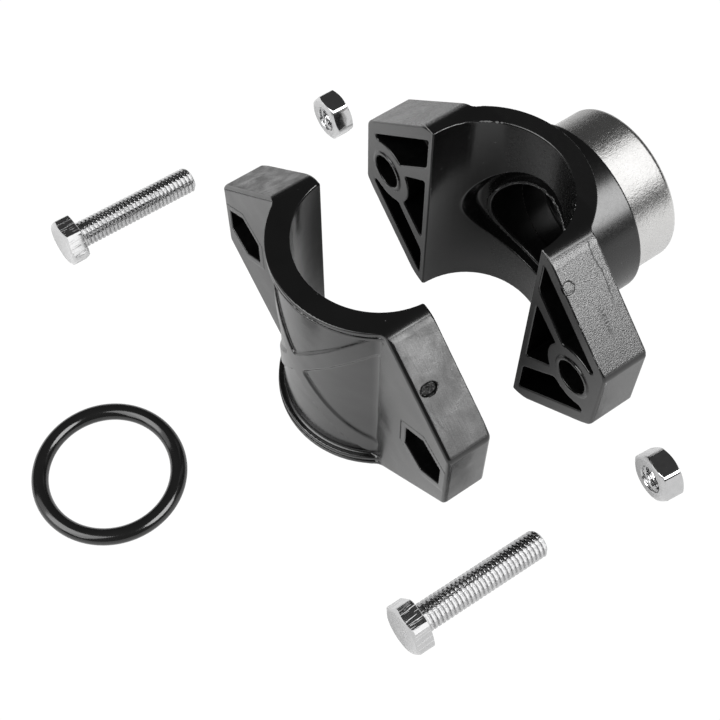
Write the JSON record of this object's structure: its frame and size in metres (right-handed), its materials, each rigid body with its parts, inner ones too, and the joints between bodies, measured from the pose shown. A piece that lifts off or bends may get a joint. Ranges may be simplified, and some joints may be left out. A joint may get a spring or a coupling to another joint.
{
  "type": "tapping saddle",
  "caption": "Split black plastic pipe saddle with a threaded branch outlet, a metal reinforcing ring, a sealing ring, bolts and nuts, laid out unassembled.",
  "frame": {"origin": "on the pipe axis of the upper half, at the surface that every piece rests on", "axes": "+Z along the pipe axis, +Y out of the branch outlet, +X across the ears"},
  "size_m": [0.1311, 0.1352, 0.052],
  "materials": {
    "body_plastic": "satin moulded",
    "ring_steel": "bright, fine cross grain",
    "seal_rubber": "gloss",
    "zinc_steel": "bright zinc plated"
  },
  "bodies": {
    "upper": {"upper_half": "body_plastic", "reinforcing_ring": "ring_steel", "o_ring": "seal_rubber", "bolt_1": "zinc_steel", "bolt_2": "zinc_steel", "nut_1": "zinc_steel", "nut_2": "zinc_steel"},
    "lower": {"lower_half": "body_plastic"}
  },
  "joints": [
    {"name": "closing_slide", "type": "slide", "parent": "upper", "child": "lower", "axis": [0.1322, 0.9912, 0], "range_m": [0, 0.023]}
  ]
}
